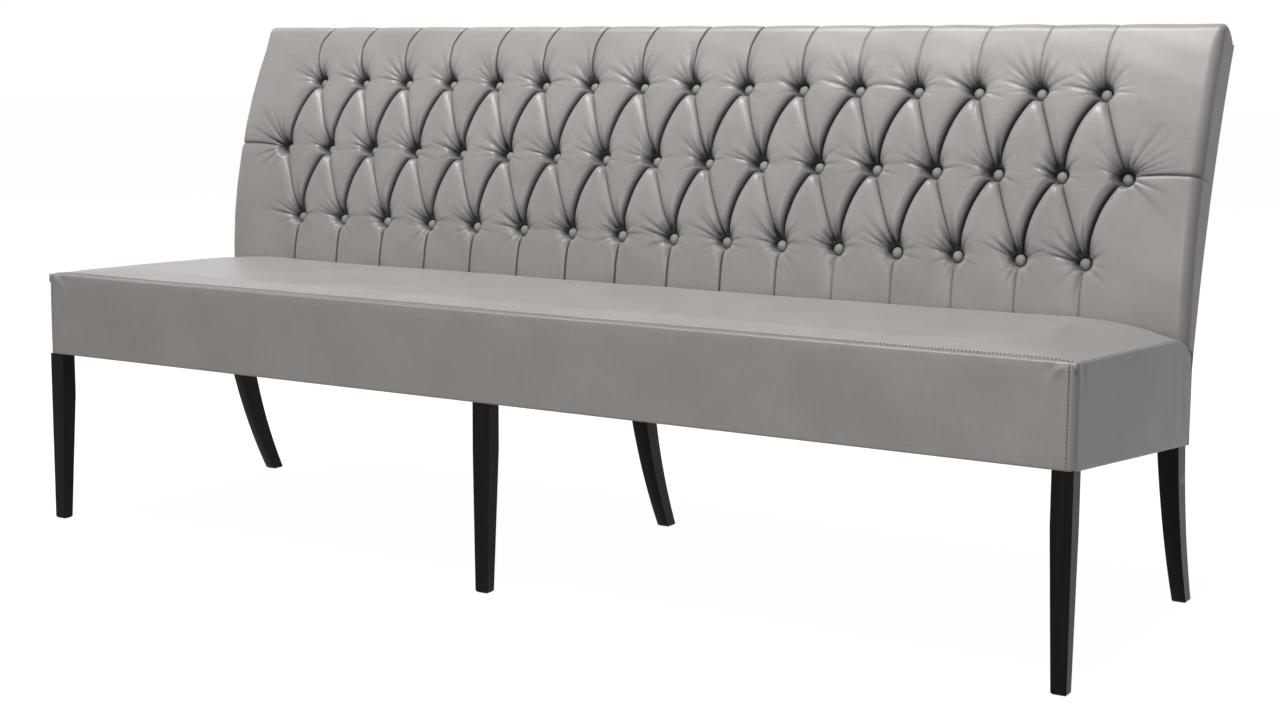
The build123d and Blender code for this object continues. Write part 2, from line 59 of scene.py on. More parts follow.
# Driving dimensions, as in the part's source
half_length = 1050.0
seat_seam_height = 487.0
box_front_bottom = 331.0
box_depth = 543.0
bottom_rake = radians(5.0)
seam_rake = radians(2.5)
cover_thickness = 2.0
clearance = 0.3
corner_radius = 12.0
topper_edge = 16.0
crown_height = 13.0
crown_run = 95.0
seam_turn = 100.0
seam_fall = 30.0
seam_bulge = 6.0
seat_gap = 1.0
back_radius = 1750.0
back_lean = radians(15.5)
middle_row_setback = 574.0
middle_row_height = 714.0
row_spacing = 145.0
button_pitch = 115.2
diamonds = 16
back_top = 272.0
back_rear_drop = 12.0
back_thickness_top = 50.0
back_thickness_middle = 42.5
rear_turn_height = 408.0
puff_height = 31.5
puff_peak = 20.0
puff_reach = 379.0
pad_base = 6.0
pad_bottom_height = 426.0
top_crown = 7.0
top_edge_radius = 22.0
side_edge_radius = 20.0
button_radius = 9.75

skin = cover_thickness + clearance
core = half_length - skin
half_pitch = button_pitch / 2
y_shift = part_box("seat_front_band")[0].y / MM

# Places of the arc's centre and of the buttons
arc_y = middle_row_setback + back_radius * cos(back_lean)
arc_z = middle_row_height - back_radius * sin(back_lean)
outer_row_xs = (np.arange(diamonds) - (diamonds - 1) / 2) * button_pitch
middle_row_xs = (np.arange(diamonds + 1) - diamonds / 2) * button_pitch
button_rows = ((row_spacing, outer_row_xs), (0.0, middle_row_xs), (-row_spacing, outer_row_xs))
button_places = [(along, x, n) for along, xs in button_rows for n, x in enumerate(xs)]
last_button_x = middle_row_xs[-1]
top_along = back_top + top_crown / 2
top_start = top_along - top_edge_radius


def low(y):
    """Height of the raked underside of the seat box."""
    return box_front_bottom - y * tan(bottom_rake)


def seam(y):
    """Height of the raked seam round the top of the seat box."""
    return seat_seam_height - y * tan(seam_rake)


def crest(along):
    """How far the back stands in front of the pleat arc, below its rounded top edge."""
    return puff_height * (1 - ((along - puff_peak) / puff_reach) ** 2)


def on_back(along, proud):
    """(y, z) at a length along the pleat arc from the middle row, and a height in front of it."""
    turn = back_lean + along / back_radius
    reach = back_radius + proud
    return arc_y - reach * np.cos(turn), arc_z + reach * np.sin(turn)


def circle_through(*points):
    """Centre and radius of the circle through three (y, z) points."""
    points = np.array(points)
    spans = np.roll(points, -1, 0) - np.roll(points, 1, 0)
    squares = (points ** 2).sum(1)
    scale = 2 * (points[:, 0] * spans[:, 1]).sum()
    y, z = squares @ spans[:, 1] / scale, -squares @ spans[:, 0] / scale
    return (y, z), hypot(*(points[0] - (y, z)))


rear_points = (
    (box_depth, rear_turn_height),
    on_back(0.0, -back_thickness_middle),
    on_back(back_top - back_rear_drop, -back_thickness_top),
)
rear_centre, rear_radius = circle_through(*rear_points)
bottom_along = back_radius * (np.arcsin((pad_bottom_height - arc_z) / back_radius) - back_lean)
seat_rear = on_back(bottom_along, crest(bottom_along))[0] - seat_gap

# The side seam turns down behind the seat on an arc
turn_start = (seat_rear - seam_turn / 2, seam(seat_rear - seam_turn / 2))
turn_end = (box_depth, seam(box_depth) - seam_fall)
turn_middle = ((turn_start[0] + turn_end[0]) / 2, (turn_start[1] + turn_end[1]) / 2 + seam_bulge)
turn_centre, turn_radius = circle_through(turn_start, turn_middle, turn_end)


def side_seam(y):
    """Height of the side seam, with its turn down at the rear."""
    fall = turn_centre[1] + np.sqrt(np.clip(turn_radius ** 2 - (y - turn_centre[0]) ** 2, 0, None))
    return np.where(y <= turn_start[0], seam(y), fall)


def rear_arc_to(along, inset):
    """(y, z) on the rear arc, moved forward by the inset, square to the pleat arc at a length along it."""
    turn = back_lean + along / back_radius
    out = (-np.cos(turn), np.sin(turn))
    start = (arc_y - rear_centre[0], arc_z - rear_centre[1])
    half_b = start[0] * out[0] + start[1] * out[1]
    c = start[0] ** 2 + start[1] ** 2 - (rear_radius + inset) ** 2
    reach = -half_b + np.sqrt(half_b ** 2 - c)
    return arc_y + reach * out[0], arc_z + reach * out[1]


def spread(start, end, count, crowd=0.6):
    """Stations from start to end, crowded towards both of them."""
    share = np.linspace(0, 1, count + 1)
    return start + (end - start) * (share - crowd * np.sin(2 * pi * share) / (2 * pi))


def smooth(value, start, end):
    """0 up to the start and 1 from the end on, with a soft step between them."""
    share = np.clip((value - start) / (end - start), 0, 1)
    return share * share * (3 - 2 * share)


def bell(value, centre, width, power=2):
    """1 at the centre, falling away on both sides of it."""
    return np.exp(-(((value - centre) / width) ** power))


def ripples(u, v, longest, shortest, count, seed):
    """Soft random waves of about unit height, between two wavelengths."""
    dice = np.random.default_rng(seed)
    total = np.zeros(np.broadcast(u, v).shape)
    for _ in range(count):
        turn, phase = dice.uniform(0, 2 * pi, 2)
        wave = 2 * pi / dice.uniform(shortest, longest)
        total += np.sin(wave * (u * cos(turn) + v * sin(turn)) + phase)
    return total / count ** 0.5


# Meshes
def numbers_of(points):
    """Vertex numbers of a grid of points."""
    return np.arange(points[..., 0].size).reshape(points.shape[:2])


def quads_of(ids, wrap=False):
    """Faces of a grid of vertex numbers; a face that has lost a corner is a triangle, or is left out."""
    if wrap:
        ids = np.vstack([ids, ids[:1]])
    faces = np.stack([ids[:-1, :-1], ids[:-1, 1:], ids[1:, 1:], ids[1:, :-1]], -1).reshape(-1, 4)
    kept = []
    for face in faces.tolist():
        corners = [c for n, c in enumerate(face) if c != face[n - 1]]
        if len(corners) > 2:
            kept.append(corners)
    return kept


def closed_loop(points):
    """Faces of a grid whose rows go all the way round a sheet, with both ends of the sheet shut."""
    ids = numbers_of(points)
    return quads_of(ids, wrap=True) + [ids[:, 0].tolist(), ids[::-1, -1].tolist()]


def closed_slab(top, bottom):
    """Points and faces of a slab between two grids of points."""
    ids = numbers_of(top)
    under = ids + ids.size
    faces = quads_of(ids) + quads_of(under[:, ::-1])
    rims = ((ids[0], under[0]), (under[-1], ids[-1]), (under[:, 0], ids[:, 0]), (ids[:, -1], under[:, -1]))
    for a, b in rims:
        faces += quads_of(np.stack([b, a]))
    return np.concatenate([top.reshape(-1, 3), bottom.reshape(-1, 3)]), faces


def closed_rings(first, count, sides):
    """Faces of a stack of rings of points, with its first and last ring shut."""
    ids = first + np.arange(count * sides).reshape(count, sides)
    return quads_of(np.hstack([ids, ids[:, :1]])) + [ids[0, ::-1].tolist(), ids[-1].tolist()]


def add_object(name, data):
    thing = bpy.data.objects.new(name, data)
    bpy.context.scene.collection.objects.link(thing)
    return thing


def make_piece(name, points, faces, uv, slot, material=None, flip=False, painted_shade=None):
    """Mesh object that rides on the bench; its cover is darkened by painted shade, and points without a face
    are dropped.
    """
    placed = (np.asarray(points, float).reshape(-1, 3) + np.array([0.0, y_shift, 0.0])) * MM
    used = np.unique(np.fromiter((corner for face in faces for corner in face), int))
    number = np.full(len(placed), -1)
    number[used] = np.arange(len(used))
    faces = [[int(number[c]) for c in (reversed(face) if flip else face)] for face in faces]
    mesh = bpy.data.meshes.new(name)
    mesh.from_pydata(placed[used].tolist(), [], faces)
    if uv is not None:
        layer = mesh.uv_layers.new(name="lay")
        corners = np.zeros(len(mesh.loops), int)
        mesh.loops.foreach_get("vertex_index", corners)
        layer.data.foreach_set("uv", np.asarray(uv, float).reshape(-1, 2)[used][corners].ravel())
    if painted_shade is not None:
        painted_shade_layer = mesh.attributes.new("painted_shade", "FLOAT", "POINT")
        painted_shade_layer.data.foreach_set("value", np.asarray(painted_shade, float).ravel()[used])
    mesh.shade_smooth()
    mesh.materials.append(material or node_materials[slot])
    piece = add_object(name, mesh)
    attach(piece, "root")
    return piece


# Materials
def blank_material(name, base, roughness, metallic=0.0):
    material = bpy.data.materials.new(name)
    material.use_nodes = True
    tree = material.node_tree
    shader = tree.nodes["Principled BSDF"]
    shader.inputs["Base Color"].default_value = (*base, 1.0)
    shader.inputs["Roughness"].default_value = roughness
    shader.inputs["Metallic"].default_value = metallic
    return material, tree, shader


def link(source, socket):
    source.id_data.links.new(source, socket)


def noise_along(tree, source, scale, detail=3.0):
    """Noise stretched by a scale for each axis of its coordinates."""
    mapping = tree.nodes.new("ShaderNodeMapping")
    mapping.inputs["Scale"].default_value = scale
    noise = tree.nodes.new("ShaderNodeTexNoise")
    noise.inputs["Scale"].default_value = 1.0
    noise.inputs["Detail"].default_value = detail
    link(source, mapping.inputs["Vector"])
    link(mapping.outputs["Vector"], noise.inputs["Vector"])
    return noise.outputs["Fac"]


def reckon(tree, kind, *values):
    """Math node on numbers and outputs of other nodes."""
    node = tree.nodes.new("ShaderNodeMath")
    node.operation = kind
    for socket, value in zip(node.inputs, values):
        if isinstance(value, (int, float)):
            socket.default_value = value
        else:
            link(value, socket)
    return node.outputs[0]


def ramp(tree, source, dark, light, low_stop=0.3, high_stop=0.7):
    node = tree.nodes.new("ShaderNodeValToRGB")
    for stop, colour, place in zip(node.color_ramp.elements, (dark, light), (low_stop, high_stop)):
        stop.color = (*colour, 1.0)
        stop.position = place
    link(source, node.inputs["Fac"])
    return node.outputs["Color"]


def bump(tree, shader, height, distance, strength):
    node = tree.nodes.new("ShaderNodeBump")
    node.inputs["Distance"].default_value = distance
    node.inputs["Strength"].default_value = strength
    link(height, node.inputs["Height"])
    link(node.outputs["Normal"], shader.inputs["Normal"])


# Near black that the cover's colour is mixed towards as painted shade in its creases and folds
painted_shade_colour = (0.03, 0.028, 0.026, 1.0)
thread_scales = ((0.06, 1.5, 0), (1.5, 0.06, 0))
slub_scales = ((0.012, 0.5, 0), (0.4, 0.02, 0))
cloud_scale = (0.006, 0.006, 0)
weave_relief = 0.0004


def woven_cover(name, dark, light, roughness, metallic, weave_strength):
    """Faux leather with a metallic sheen and an embossed linen weave, laid along the piece's own lengths."""
    material, tree, shader = blank_material(name, light, roughness, metallic)
    lay = tree.nodes.new("ShaderNodeUVMap").outputs["UV"]
    threads, slubs = (
        reckon(tree, "MULTIPLY", reckon(tree, "ADD", *(noise_along(tree, lay, scale) for scale in pair)), 0.5)
        for pair in (thread_scales, slub_scales)
    )
    relief = reckon(tree, "ADD", threads, slubs)
    cloud = noise_along(tree, lay, cloud_scale, 2.0)
    tone = reckon(tree, "MULTIPLY", reckon(tree, "ADD", relief, cloud), 1 / 3)
    # Painted shade: a per-point attribute mixes the colour towards near black in the creases and folds, where
    # shade falls
    painted_shade = tree.nodes.new("ShaderNodeAttribute")
    painted_shade.attribute_name = "painted_shade"
    shade_mix = tree.nodes.new("ShaderNodeMix")
    shade_mix.data_type = "RGBA"
    factor, shown, shade_tone, result = shade_mix.inputs[0], shade_mix.inputs[6], shade_mix.inputs[7], shade_mix.outputs[2]
    shade_tone.default_value = painted_shade_colour
    link(painted_shade.outputs["Fac"], factor)
    link(ramp(tree, tone, dark, light, 0.4, 0.6), shown)
    link(result, shader.inputs["Base Color"])
    gloss = tree.nodes.new("ShaderNodeMapRange")
    for socket, value in (("From Min", 0.35), ("From Max", 0.65), ("To Min", roughness - 0.05),
                          ("To Max", roughness + 0.07)):
        gloss.inputs[socket].default_value = value
    link(slubs, gloss.inputs["Value"])
    link(gloss.outputs["Result"], shader.inputs["Roughness"])
    bump(tree, shader, relief, weave_relief, weave_strength)
    shader.inputs["Specular IOR Level"].default_value = 0.28
    shader.inputs["Sheen Weight"].default_value = 0.06
    shader.inputs["Sheen Roughness"].default_value = 0.4
    return material


def lacquered_wood():
    """Near-black satin lacquer over wood, with faint grain and a little unevenness in its gloss."""
    dark, light = (0.004, 0.0036, 0.0035), (0.010, 0.009, 0.0085)
    least_rough, rough_range = 0.24, 0.18
    material, tree, shader = blank_material("black_lacquer", (0.007, 0.0065, 0.006), 0.36)
    place = tree.nodes.new("ShaderNodeTexCoord").outputs["Object"]
    grain = noise_along(tree, place, (160.0, 160.0, 7.0), 5.0)
    speck = noise_along(tree, place, (420.0, 420.0, 420.0), 2.0)
    link(ramp(tree, grain, dark, light), shader.inputs["Base Color"])
    gloss = reckon(tree, "MULTIPLY_ADD", speck, rough_range, least_rough)
    link(gloss, shader.inputs["Roughness"])
    bump(tree, shader, grain, 0.0004, 0.12)
    shader.inputs["Specular IOR Level"].default_value = 0.08
    return material


def grained(name, dark, light, roughness, scale, distance=0.0005, metallic=0.0):
    """Plain material with one noise for its colour and relief, stretched along the piece."""
    material, tree, shader = blank_material(name, light, roughness, metallic)
    place = tree.nodes.new("ShaderNodeTexCoord").outputs["Object"]
    grain = noise_along(tree, place, scale, 4.0)
    link(ramp(tree, grain, dark, light), shader.inputs["Base Color"])
    bump(tree, shader, grain, distance, 0.25)
    return material


thread = grained("thread", (0.05, 0.045, 0.04), (0.10, 0.09, 0.08), 0.7, (900, 900, 900))
node_materials = {
    "leg_wood": lacquered_wood(),
    "frame_wood": grained("planed_timber", (0.50, 0.36, 0.21), (0.68, 0.53, 0.35), 0.6, (2, 60, 60)),
    "back_board": grained("plywood", (0.42, 0.29, 0.17), (0.60, 0.45, 0.29), 0.6, (3, 40, 40)),
    "foam": grained("open_foam", (0.74, 0.70, 0.55), (0.90, 0.87, 0.74), 0.9, (500, 500, 500)),
    "webbing": grained("elastic_webbing", (0.03, 0.03, 0.03), (0.10, 0.09, 0.09), 0.8, (600, 90, 90)),
    "dust_cover_cloth": grained("black_cloth", (0.01, 0.01, 0.01), (0.03, 0.03, 0.03), 0.9, (700, 700, 700)),
    "tie_cord": grained("twisted_cord", (0.55, 0.52, 0.45), (0.78, 0.75, 0.68), 0.8, (900, 900, 900)),
    "tie_clips": grained("moulded_plastic", (0.02, 0.02, 0.02), (0.05, 0.05, 0.05), 0.45, (300, 300, 300)),
    "bolt_steel": grained("plated_steel", (0.42, 0.42, 0.44), (0.60, 0.60, 0.62), 0.3, (500, 500, 90),
                          0.0002, 1.0),
    "cover": woven_cover("metallic_weave", (0.33, 0.312, 0.304), (0.40, 0.382, 0.374), 0.38, 0.1, 0.2),
    "button_cover": woven_cover("button_weave", (0.30, 0.29, 0.27), (0.38, 0.37, 0.345), 0.6, 0.0, 0.25),
}


def dress_nodes():
    """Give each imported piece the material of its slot, and the legs softer edges."""
    same_place, edge_softness, least_edge_angle = 0.01, 1.2, radians(25)
    slots = {row["node"]: row["material_slot"] for row in frame["record"]["subparts"]}
    for name, piece in frame["nodes"].items():
        piece.data.materials.clear()
        piece.data.materials.append(node_materials[slots[name]])
        if name.endswith("_leg"):
            weld = piece.modifiers.new("join_faces", "WELD")
            weld.merge_threshold = same_place * MM
            soften = piece.modifiers.new("soft_edges", "BEVEL")
            soften.width = edge_softness * MM
            soften.segments = 2
            soften.limit_method = "ANGLE"
            soften.angle_limit = least_edge_angle


# Tufted back. A grid whose columns follow the pleats, wrapped over the top edge and round both ends.
# A pleat's floor is the height left at its ends and middle, and its reach is how far it draws the puffs down.
# Its steepness and the width of the shadow painted along it are given for its left and its right side, and its
# dark value is how deep that painted shadow is.
rising_pleat = {"bow": -14.0, "floor": (1.0, 3.0), "reach": 34.0, "steep": (0.34, 0.34), "dark": 0.9,
                "wide": (5.2, 1.9)}
falling_pleat = {"bow": 1.5, "floor": (1.0, 19.0), "reach": 26.0, "steep": (0.6, 0.45), "dark": 0.45,
                 "wide": (2.2, 1.4)}
upright_pleat = {"floor": None, "reach": 8.0, "steep": (0.5, 0.5), "dark": 0.88, "wide": (2.5, 1.5)}
bow_power = 1.4
bow_peak = 1 / (1 + bow_power)
bow_scale = 1 / (bow_peak * (1 - bow_peak) ** bow_power)

# Columns in a cell between two pleats, an end panel, a rounded side edge and a side
cell_columns = 48
panel_columns = 54
edge_columns = 12
end_columns = 14

round_end = top_start + top_edge_radius * pi / 2
rear_along = back_top - back_rear_drop
top_face_run = 50.0
end_of_section = round_end + top_face_run
top_side_radius = 8.0
side_depth = 70.0
level_pleat_arch = 5.0
level_bend_reach = 26.0
level_pleat_depth = 5.5
# Most painted shade that the cover takes in its folds
darkest_painted_shade = 0.92


def bow(share):
    """Shape of a diagonal pleat's bow, from its upper button to its lower one, 1 at its widest."""
    share = np.clip(share, 0, 1)
    return bow_scale * share * (1 - share) ** bow_power


def upright_shift(n, v):
    """Lean of the n-th upright pleat above and below the diamonds, more at the left end of the bench."""
    leftness = 1 - n / (diamonds - 1)
    above = np.clip((v - row_spacing) / (top_start - row_spacing), 0, 1)
    below = np.clip((-v - row_spacing) / (-bottom_along - row_spacing), 0, 1)
    belly = (4.0 + 20.0 * leftness ** 3) * np.sin(0.65 * pi * above)
    hook = (9.0 + 12.0 * leftness) * smooth(v, top_start - 34, round_end)
    return hook - belly - (1.0 + 9.0 * leftness) * np.sin(0.5 * pi * below)


def crispness(n):
    """How sharply the n-th upright pleat is folded; those right of the middle have all but closed."""
    return 1 - 0.65 * smooth(n, 8.5, 11.5)


def pleat_x(k, v):
    """X of the k-th pleat line from the left at a length up the back."""
    start, side = middle_row_xs[(k + 1) // 2], 1 if k % 2 == 0 else -1
    away = abs(v) / row_spacing
    if away > 1:
        return start + side * half_pitch + upright_shift(k // 2, v)
    shape = rising_pleat if (side > 0) == (v >= 0) else falling_pleat
    return start + side * half_pitch * away + shape["bow"] * bow(1 - away if v >= 0 else away)


def edge_radius(v):
    """Radius of the turn round the side edge, smaller over the top."""
    return side_edge_radius - (side_edge_radius - top_side_radius) * smooth(v, top_start - 40, round_end)


def section(v, depth):
    """(along, proud) at a length up the back's outline, and a depth under its surface."""
    arc_centre = crest(top_start) - top_edge_radius
    turn = np.clip((v - top_start) / top_edge_radius, 0, pi / 2)
    reach = top_edge_radius - depth
    on_front = v <= top_start
    along = np.where(on_front, v, top_start + reach * np.sin(turn))
    proud = np.where(on_front, crest(np.minimum(v, top_start)) - depth, arc_centre + reach * np.cos(turn))
    # The top face is a curve with one control point, from the rounding to the rear edge
    rear_y, rear_z = rear_arc_to(rear_along, skin)
    rear_proud = hypot(arc_y - rear_y, rear_z - arc_z) - back_radius
    control = (top_along + top_crown / 2, (arc_centre + rear_proud) / 2)
    poles = np.array([(top_along, arc_centre), control, (rear_along, rear_proud)])
    share = np.clip((v - round_end) / top_face_run, 0, 1)
    weights = ((1 - share) ** 2, 2 * share * (1 - share), share ** 2)
    slopes = (2 * share - 2, 2 - 4 * share, 2 * share)
    face_along, face_proud = (sum(w * p for w, p in zip(weights, axis)) for axis in poles.T)
    run_along, run_proud = (sum(w * p for w, p in zip(slopes, axis)) for axis in poles.T)
    size = np.hypot(run_along, run_proud)
    on_top = v > round_end
    return (np.where(on_top, face_along + run_proud / size * depth, along),
            np.where(on_top, face_proud - run_along / size * depth, proud))


def pleat_list():
    """Shape, number, direction from the middle row, and ends of each pleat."""
    pleats = []
    for n, x in enumerate(outer_row_xs):
        for side in (-1, 1):
            for up in (-1, 1):
                shape = rising_pleat if side * up < 0 else falling_pleat
                pleats.append((shape, n, up, (x + side * half_pitch, 0.0), (x, up * row_spacing)))
        for up in (-1, 1):
            end = end_of_section if up > 0 else bottom_along
            pleats.append((upright_pleat, n, up, (x, up * row_spacing), (x, end)))
    return pleats


def folded(x, v, full):
    """Share of the padding's height that is left by the pleats, and the painted shadow along their folds."""
    least_height, button_fade, swell_reach = 2.0, 20.0, 46.0
    left, dark = np.ones_like(x), np.zeros_like(x)
    for shape, n, up, (x0, a0), (x1, a1) in pleat_list():
        near = np.abs(x - (x0 + x1) / 2) < half_pitch / 2 + 60
        near &= (v > min(a0, a1) - 50) & (v < max(a0, a1) + 50)
        px, pv, height = x[near], v[near], full[near]
        if shape["floor"]:
            from_middle_row = np.clip((pv - a0) / (a1 - a0), 0, 1)
            px = px - shape["bow"] * bow(1 - from_middle_row if up > 0 else from_middle_row)
        else:
            px = px - upright_shift(n, pv)
        run = (x1 - x0, a1 - a0)
        size = hypot(*run)
        share = np.clip(((px - x0) * run[0] + (pv - a0) * run[1]) / size ** 2, 0, 1)
        off_x, off_v = px - x0 - share * run[0], pv - a0 - share * run[1]
        distance = np.hypot(off_x, off_v)
        if shape["floor"]:
            end_floor, middle_floor = shape["floor"]
            floor = end_floor + (middle_floor - end_floor) * np.sin(pi * share) ** 0.7
            drop, swell_drop, strength = np.clip(height - floor, 0, None), 0.0, 1.0
            reach = shape["reach"]
        else:
            # An upright pleat starts as deep as its button, and soon flattens to a line between soft swells
            strength = crispness(n)
            from_button, line = share * size, 3.6 * strength
            flatter = 1 - 0.6 * smooth(pv, round_end, end_of_section)
            drop = (line + (height - line - least_height) * bell(from_button, 0, button_fade, 1.3)) * flatter
            swell_drop = (1.5 if up > 0 else 6.0) * flatter
            reach = shape["reach"] + 34.0 * np.exp(-from_button / 24.0)
        steep, wide = (np.where(off_x < 0, *shape[key]) for key in ("steep", "wide"))
        rise = (1 - (1 - np.clip(distance / reach, 0, 1)) ** 3) ** steep
        broad = swell_drop * (1 - np.clip(distance / swell_reach, 0, 1)) ** 2
        left[near] *= 1 - (drop * (1 - rise) + broad) / height
        # Painted shadow along each pleat, of the pleat's own darkness and of a width on each side of it
        dark[near] = np.maximum(dark[near], shape["dark"] * strength * bell(distance, 0, wide, 2.4))
    return left * funnels(x, v), dark


def funnels(x, v):
    """Share left round each button, which draws the padding in, mostly from above."""
    least_reach, more_above, window = 24.0, 28.0, 56
    left = np.ones_like(x)
    for along, centre, _ in button_places:
        near = (np.abs(x - centre) < window) & (np.abs(v - along) < window)
        off_x, off_v = x[near] - centre, v[near] - along
        r = np.hypot(off_x, off_v)
        reach = least_reach + more_above * ((1 + off_v / np.maximum(r, 1e-6)) / 2) ** 1.5
        left[near] *= (1 - (1 - np.clip(r / reach, 0, 1)) ** 2.4) ** 0.8
    return left


def level_dips(x, v):
    """Shallow slack folds from button to button along the rows."""
    dip = np.zeros_like(x)
    for along, xs in button_rows:
        for x0, x1 in zip(xs, xs[1:]):
            strength, arch, width = chance.uniform((0.2, 3.0, 3.5), (1.3, 9.0, 6.0))
            near = (x > x0) & (x < x1) & (np.abs(v - along) < 30)
            share = (x[near] - x0) / (x1 - x0)
            ends = 0.35 + 0.65 * np.abs(2 * share - 1) ** 1.5
            dip[near] += strength * ends * bell(v[near], along + arch * np.sin(pi * share), width)
    return dip


# Creases round a button: first and last angle from straight up, count, scatter, range of depth and of length.
# The end buttons of the middle row have long ones towards the side edge as well.
crease_fans = (
    (-1.35, 0.15, 7, 0.12, (2.2, 4.6), (34, 62)),
    (0.42, 1.35, 4, 0.14, (1.0, 2.6), (24, 48)),
    (1.8, 4.5, 6, 0.2, (0.8, 2.2), (20, 48)),
)
end_crease_angles = (0.55, 0.8, 1.02, 1.2, 1.36, 1.9, 2.25)


def gathers(x, v):
    """Creases that fan out from each button, most of them above it."""
    dip = np.zeros_like(x)
    for along, centre, n in button_places:
        near = (np.abs(x - centre) < 105) & (np.abs(v - along) < 90)
        off_x, off_v = x[near] - centre, v[near] - along
        r, turn = np.hypot(off_x, off_v), np.arctan2(off_x, off_v)
        fan = []
        for first, last, count, scatter, depths, lengths in crease_fans:
            angles = np.linspace(first, last, count) + chance.uniform(-scatter, scatter, count)
            fan += [(angle, chance.uniform(*depths), chance.uniform(*lengths)) for angle in angles]
        if along == 0 and n in (0, diamonds):
            side = 1 if n else -1
            fan += [(side * angle, chance.uniform(1.6, 3.2), chance.uniform(55, 92))
                    for angle in end_crease_angles]
        for angle, depth, length in fan:
            away = np.abs((turn - angle + pi) % (2 * pi) - pi)
            fade = smooth(r, 9, 18) * bell(r, 0, length, 2.5)
            dip[near] += depth * bell(away * r, 0, 1.3 + 0.05 * r, 1.5) * fade
    return dip


def level_pleat_height(x):
    """How far the level pleat of an end panel stands above the middle row."""
    share = np.clip((np.abs(x) - last_button_x) / (half_length - last_button_x), 0, 1)
    return level_pleat_arch * np.sin(pi * share * 0.8)


def back_stations():
    """Lengths up the back of the cover's rows of points, crowded towards the rows of buttons."""
    stations = np.concatenate([
        spread(bottom_along, -row_spacing, 56), spread(-row_spacing, 0, 76)[1:],
        spread(0, row_spacing, 76)[1:], spread(row_spacing, top_start, 46)[1:],
        np.linspace(top_start, round_end, 11)[1:], np.linspace(round_end, end_of_section, 15)[1:],
    ])
    stations[np.abs(stations) < 1e-6] = 0.0
    return stations


def front_grid(stations):
    """X and length up the back of the cover's points on the front and the top."""
    cell_shares = spread(0, 1, cell_columns)[1:]
    panel_shares = np.linspace(0, 1, panel_columns + 1) ** 1.35
    rows = []
    for v in stations:
        pleats = [pleat_x(k, v) for k in range(2 * diamonds)]
        edge = half_length - edge_radius(v)
        left = pleats[0] - (edge + pleats[0]) * panel_shares[::-1]
        right = pleats[-1] + (edge - pleats[-1]) * panel_shares[1:]
        cells = [a + (b - a) * cell_shares for a, b in zip(pleats, pleats[1:])]
        rows.append(np.concatenate([left, *cells, right]))
    x = np.array(rows)
    v = np.repeat(stations[:, None], x.shape[1], 1)
    bend = level_pleat_height(x) * bell(v, 0, level_bend_reach)
    return x, v + np.where(np.abs(x) > last_button_x, bend, 0)


def back_relief(x, v):
    """Depth of the cover under the unbuttoned surface, and the shade painted into its folds and creases."""
    full = crest(np.minimum(v, top_start))
    left, dark = folded(x, v, full)
    slack, fans = level_dips(x, v), gathers(x, v)
    height = full * left - slack - fans
    height += 0.45 * ripples(x, v, 220.0, 60.0, 9, 3) * smooth(height, 6, 20)
    from_middle = np.abs(x)
    level = np.where(from_middle > last_button_x, np.exp(-np.abs(v - level_pleat_height(x)) / 3.2), 0)
    level *= 1 - 0.3 * smooth(from_middle, last_button_x, half_length)
    height -= level_pleat_depth * level * smooth(from_middle, last_button_x, last_button_x + 8)
    # A button sits in a pocket with steep walls; the shade painted round it is lifted on its lower side, where
    # the light falls
    pocket_room, pocket_floor, wall_slope = 1.0, 0.4, 2.6
    lit = np.ones_like(x)
    for along, centre, _ in button_places:
        r = np.hypot(x - centre, v - along)
        wall = wall_slope * np.clip(r - button_radius - pocket_room, 0, None) - pocket_floor
        height = np.minimum(height, wall)
        below = smooth((along - v) / np.maximum(r, 1e-6), -0.1, 0.6)
        lit *= 1 - 0.8 * below * bell(r, 0, 17.0)
    depth = full - height
    # Painted shade: the colour darkens with the depth of pleats and funnels, in creases and slack dips, along
    # the pleat shadows and the level pleat, and less below each button
    painted_shade = 0.92 * smooth(depth / full, 0.3, 0.95) + 0.15 * fans + 0.4 * slack
    painted_shade = np.maximum(np.maximum(painted_shade, dark), 0.92 * level) * lit
    return depth, np.clip(painted_shade, 0, darkest_painted_shade)


def end_block(side, v, depth, radius):
    """Points and lay of the cover at one end: round the side edge, then back to the rear panel."""
    turn = np.linspace(0, pi / 2, edge_columns + 1)[None, 1:]
    share = np.linspace(0, 1, end_columns + 1)[None, 1:]
    turn_x = side * (half_length - radius + (radius - depth) * np.sin(turn))
    turn_y, turn_z = on_back(*section(v, radius - (radius - depth) * np.cos(turn)))
    even_to, rear_top = 200.0, rear_along - 8.0
    past = np.clip(v - even_to, 0, None) / (end_of_section - even_to)
    target_y, target_z = rear_arc_to(np.minimum(v, even_to) + past * (rear_top - even_to), skin)
    end_x = side * (half_length - depth * (1 - share) ** 2)
    end_y = turn_y[:, -1:] + (target_y - turn_y[:, -1:]) * share
    end_z = turn_z[:, -1:] + (target_z - turn_z[:, -1:]) * share
    block = np.stack([np.hstack([turn_x, end_x]), np.hstack([turn_y, end_y]), np.hstack([turn_z, end_z])], -1)
    run = np.hstack([radius * turn, radius * pi / 2 + share * side_depth])
    return block, np.stack([side * (half_length + run), np.repeat(v, run.shape[1], 1)], -1)


